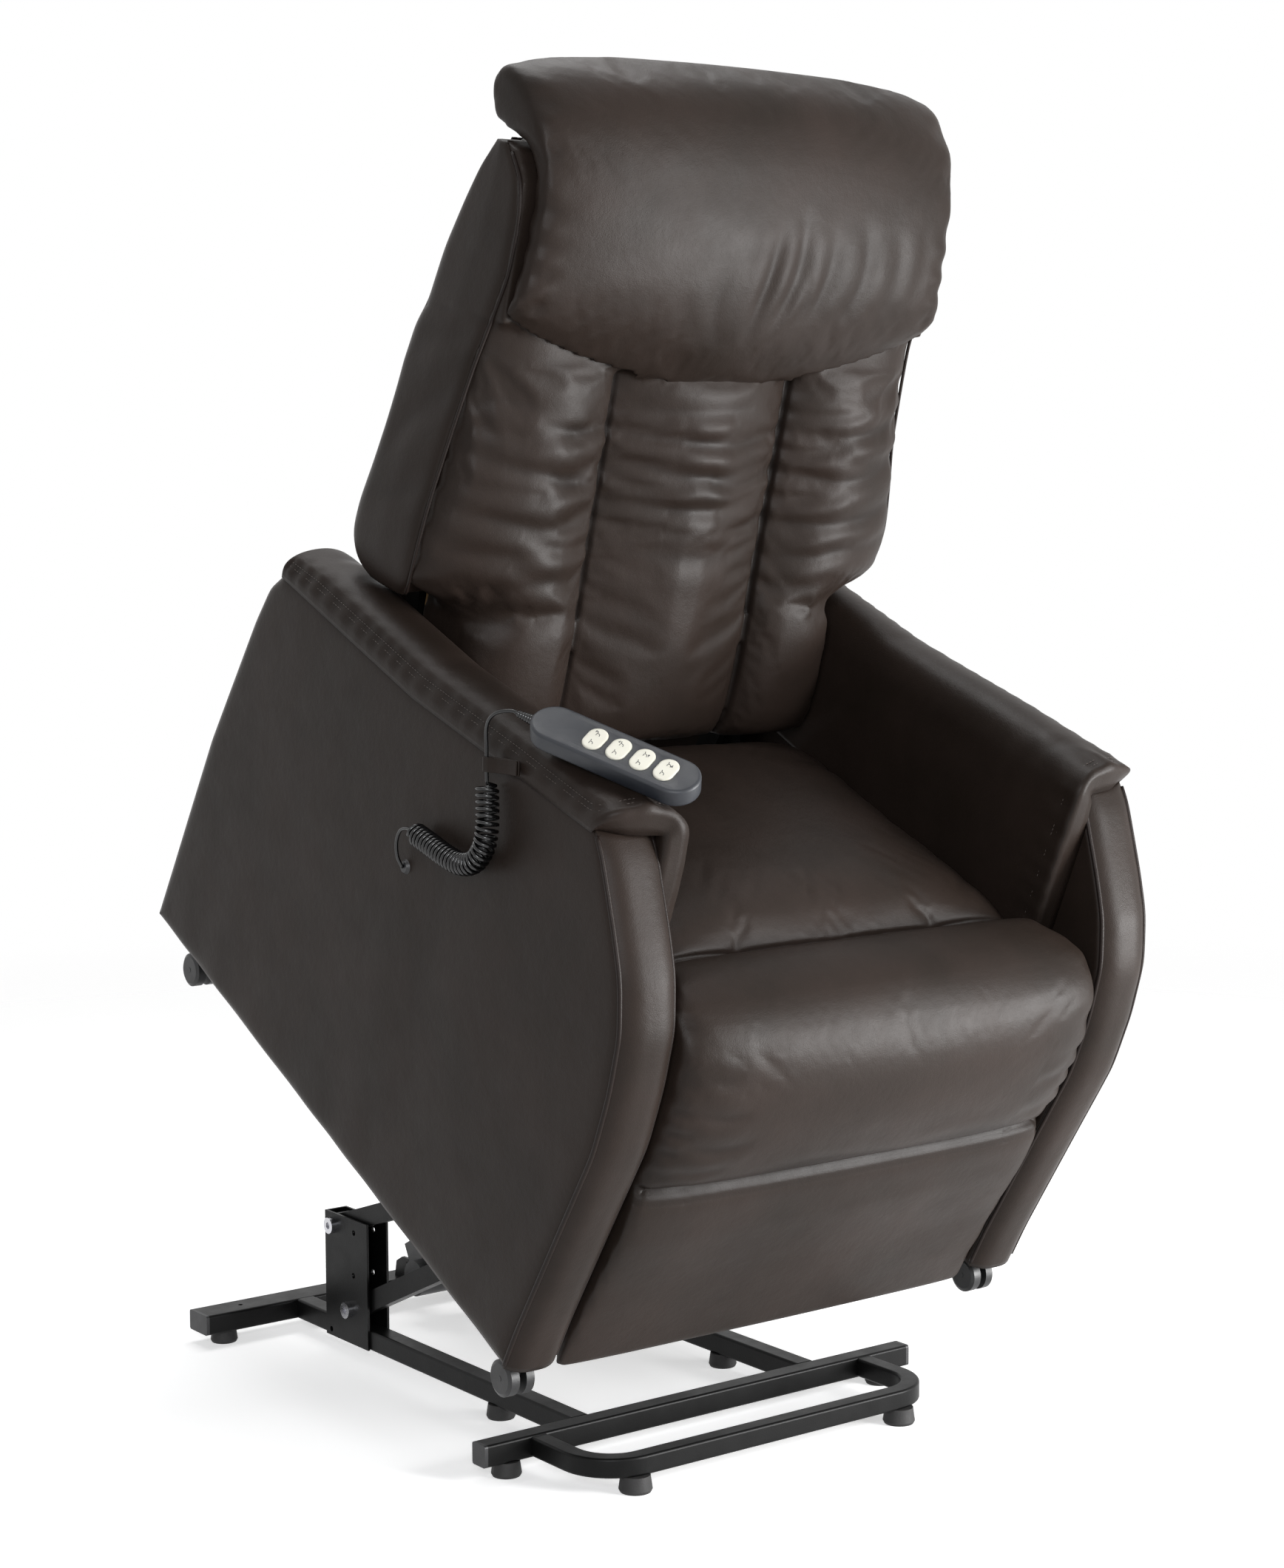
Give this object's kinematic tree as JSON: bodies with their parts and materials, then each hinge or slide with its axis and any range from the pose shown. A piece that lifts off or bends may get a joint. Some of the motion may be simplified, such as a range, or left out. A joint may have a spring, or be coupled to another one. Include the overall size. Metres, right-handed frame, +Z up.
{
  "type": "lift recliner chair",
  "caption": "Upholstered armchair on a steel lift frame that tips it forward, with reclining back, folding legrest, castors and a corded handset.",
  "frame": {"origin": "on the floor under the middle of the raised chair: centre of the base of its bounding box without the cord", "axes": "+X to the right seen from in front, -Y the way the seat faces, +Z up"},
  "size_m": [0.7544, 1.0112, 1.5218],
  "materials": {
    "black_frame": "satin black powder coat",
    "black_plastic": "moulded black, fine grain",
    "foot_rubber": "moulded black rubber",
    "castor_tread": "hard black wheels",
    "bolt_chrome": "bright plated socket screws",
    "rod_steel": "ground steel rod",
    "brown_leather": "smooth dark brown hide with a soft sheen and a fine grain",
    "board_wood": "plain plywood",
    "webbing": "black elastic webbing",
    "handset_shell": "blue-black shell, fine texture",
    "button_white": "smooth white",
    "cord_black": "glossy black insulation"
  },
  "bodies": {
    "base_frame": {"rear_cross_tube": "black_frame", "front_cross_tube": "black_frame", "side_rails": "black_frame", "stabiliser_bar": "black_frame", "tube_end_caps": "black_plastic", "base_feet": "foot_rubber", "lift_posts": "black_frame", "post_pivot_bolts": "bolt_chrome", "actuator_clevis": "black_frame"},
    "lower_arms": {"lower_arms": "black_frame", "lower_arm_cross_tube": "black_frame"},
    "upper_arms": {"upper_arms": "black_frame"},
    "lift_motor": {"lift_motor": "black_plastic"},
    "lift_rod": {"lift_rod": "rod_steel"},
    "seat_body": {"mount_frame": "black_frame", "mount_pins": "bolt_chrome", "seat_rails": "black_frame", "seat_cross_tubes": "black_frame", "seat_webbing": "webbing", "seat_cushion": "brown_leather", "arm_box_left": "brown_leather", "arm_box_right": "brown_leather", "arm_facings": "brown_leather", "arm_pad_left": "brown_leather", "arm_pad_right": "brown_leather", "rear_panel": "brown_leather", "control_box": "black_plastic", "handset": "handset_shell", "cord_straight": "cord_black", "cord_curly": "cord_black", "cord_tail": "cord_black", "cord_loop": "brown_leather", "cord_gland": "black_plastic"},
    "backrest": {"back_side_members": "black_frame", "back_cross_bars": "black_frame", "back_board": "board_wood", "back_cushion": "brown_leather", "back_wings": "brown_leather", "back_cover": "brown_leather", "head_pillow": "brown_leather"},
    "recline_motor": {"recline_motor": "black_plastic"},
    "recline_rod": {"recline_rod": "rod_steel"},
    "legrest_links_rear": {"legrest_links_rear": "black_frame"},
    "legrest_links_front": {"legrest_links_front": "black_frame"},
    "legrest": {"legrest_board": "board_wood", "legrest_pad": "brown_leather"},
    "legrest_motor": {"legrest_motor": "black_plastic"},
    "legrest_rod": {"legrest_rod": "rod_steel"},
    "castor_fork_front_left": {"castor_fork_front_left": "black_plastic"},
    "castor_wheels_front_left": {"castor_wheels_front_left": "castor_tread"},
    "castor_fork_front_right": {"castor_fork_front_right": "black_plastic"},
    "castor_wheels_front_right": {"castor_wheels_front_right": "castor_tread"},
    "castor_fork_rear_left": {"castor_fork_rear_left": "black_plastic"},
    "castor_wheels_rear_left": {"castor_wheels_rear_left": "castor_tread"},
    "castor_fork_rear_right": {"castor_fork_rear_right": "black_plastic"},
    "castor_wheels_rear_right": {"castor_wheels_rear_right": "castor_tread"},
    "button_back_up": {"button_back_up": "button_white"},
    "button_back_down": {"button_back_down": "button_white"},
    "button_seat_up": {"button_seat_up": "button_white"},
    "button_seat_down": {"button_seat_down": "button_white"}
  },
  "joints": [
    {"name": "lift", "type": "hinge", "parent": "base_frame", "child": "lower_arms", "pos_m": [0, 0.32964, 0.059], "axis": [1, 0, 0], "range_deg": [0, 25]},
    {"name": "seat_tilt", "type": "hinge", "parent": "lower_arms", "child": "seat_body", "pos_m": [0, -0.10539, 0.26186], "axis": [1, 0, 0], "range_deg": [-52.5, 0]},
    {"name": "upper_arm_swing", "type": "hinge", "parent": "base_frame", "child": "upper_arms", "pos_m": [0, 0.36664, 0.158], "axis": [1, 0, 0], "range_deg": [0, 26.5]},
    {"name": "lift_motor_swing", "type": "hinge", "parent": "base_frame", "child": "lift_motor", "pos_m": [0, 0.45364, 0.06], "axis": [1, 0, 0], "range_deg": [0, 22]},
    {"name": "lift_rod_slide", "type": "slide", "parent": "lift_motor", "child": "lift_rod", "axis": [0, -0.8837, 0.468], "range_m": [-0.0573, 0]},
    {"name": "recline", "type": "hinge", "parent": "seat_body", "child": "backrest", "pos_m": [0, 0.13191, 0.79711], "axis": [1, 0, 0], "range_deg": [-35, 0]},
    {"name": "recline_motor_swing", "type": "hinge", "parent": "seat_body", "child": "recline_motor", "pos_m": [0.07, -0.12445, 0.55722], "axis": [1, 0, 0], "range_deg": [0, 1.41]},
    {"name": "recline_rod_slide", "type": "slide", "parent": "recline_motor", "child": "recline_rod", "axis": [0, 0.9244, 0.3813], "range_m": [-0.0762, 0]},
    {"name": "legrest_lift", "type": "hinge", "parent": "seat_body", "child": "legrest_links_rear", "pos_m": [0, -0.26828, 0.48267], "axis": [1, 0, 0], "range_deg": [-73.9, 0]},
    {"name": "legrest_elbow", "type": "hinge", "parent": "legrest_links_rear", "child": "legrest_links_front", "pos_m": [0, -0.20846, 0.32889], "axis": [1, 0, 0], "range_deg": [0, 97]},
    {"name": "legrest_board_tilt", "type": "hinge", "parent": "legrest_links_front", "child": "legrest", "pos_m": [0, -0.34769, 0.40771], "axis": [1, 0, 0], "range_deg": [-111, 0]},
    {"name": "legrest_motor_swing", "type": "hinge", "parent": "seat_body", "child": "legrest_motor", "pos_m": [-0.07, 0.0385, 0.6079], "axis": [1, 0, 0], "range_deg": [-0.98, 0]},
    {"name": "legrest_rod_slide", "type": "slide", "parent": "legrest_motor", "child": "legrest_rod", "axis": [0, -0.8757, -0.4828], "range_m": [0, 0.0514]},
    {"name": "castor_swivel_front_left", "type": "hinge", "parent": "seat_body", "child": "castor_fork_front_left", "pos_m": [-0.3265, -0.24333, 0.18247], "axis": [0, -0.4602, 0.8878], "continuous": true},
    {"name": "castor_spin_front_left", "type": "hinge", "parent": "castor_fork_front_left", "child": "castor_wheels_front_left", "pos_m": [-0.3265, -0.24459, 0.14578], "axis": [1, 0, 0], "continuous": true},
    {"name": "castor_swivel_front_right", "type": "hinge", "parent": "seat_body", "child": "castor_fork_front_right", "pos_m": [0.3265, -0.24333, 0.18247], "axis": [0, -0.4602, 0.8878], "continuous": true},
    {"name": "castor_spin_front_right", "type": "hinge", "parent": "castor_fork_front_right", "child": "castor_wheels_front_right", "pos_m": [0.3265, -0.24459, 0.14578], "axis": [1, 0, 0], "continuous": true},
    {"name": "castor_swivel_rear_left", "type": "hinge", "parent": "seat_body", "child": "castor_fork_rear_left", "pos_m": [-0.3265, 0.4172, 0.52486], "axis": [0, -0.4602, 0.8878], "continuous": true},
    {"name": "castor_spin_rear_left", "type": "hinge", "parent": "castor_fork_rear_left", "child": "castor_wheels_rear_left", "pos_m": [-0.3265, 0.41595, 0.48817], "axis": [1, 0, 0], "continuous": true},
    {"name": "castor_swivel_rear_right", "type": "hinge", "parent": "seat_body", "child": "castor_fork_rear_right", "pos_m": [0.3265, 0.4172, 0.52486], "axis": [0, -0.4602, 0.8878], "continuous": true},
    {"name": "castor_spin_rear_right", "type": "hinge", "parent": "castor_fork_rear_right", "child": "castor_wheels_rear_right", "pos_m": [0.3265, 0.41595, 0.48817], "axis": [1, 0, 0], "continuous": true},
    {"name": "press_back_up", "type": "slide", "parent": "seat_body", "child": "button_back_up", "axis": [0.342, 0.5035, -0.7934], "range_m": [0, 0.001], "stiffness_N_per_m": 600},
    {"name": "press_back_down", "type": "slide", "parent": "seat_body", "child": "button_back_down", "axis": [0.342, 0.5035, -0.7934], "range_m": [0, 0.001], "stiffness_N_per_m": 600},
    {"name": "press_seat_up", "type": "slide", "parent": "seat_body", "child": "button_seat_up", "axis": [0.342, 0.5035, -0.7934], "range_m": [0, 0.001], "stiffness_N_per_m": 600},
    {"name": "press_seat_down", "type": "slide", "parent": "seat_body", "child": "button_seat_down", "axis": [0.342, 0.5035, -0.7934], "range_m": [0, 0.001], "stiffness_N_per_m": 600}
  ],
  "couplings": [
    {"joint": "seat_tilt", "follows": "lift", "ratio": -2.096},
    {"joint": "upper_arm_swing", "follows": "lift", "ratio": 1.021},
    {"joint": "lift_motor_swing", "follows": "lift", "ratio": 0.84575},
    {"joint": "lift_rod_slide", "follows": "lift", "m_per_rad": -0.12898},
    {"joint": "recline_motor_swing", "follows": "recline", "ratio": -0.038306},
    {"joint": "recline_rod_slide", "follows": "recline", "m_per_rad": 0.12302},
    {"joint": "legrest_elbow", "follows": "legrest_lift", "ratio": -1.3085},
    {"joint": "legrest_board_tilt", "follows": "legrest_lift", "ratio": 1.4993},
    {"joint": "legrest_motor_swing", "follows": "legrest_lift", "ratio": 0.012628},
    {"joint": "legrest_rod_slide", "follows": "legrest_lift", "m_per_rad": -0.039109}
  ]
}
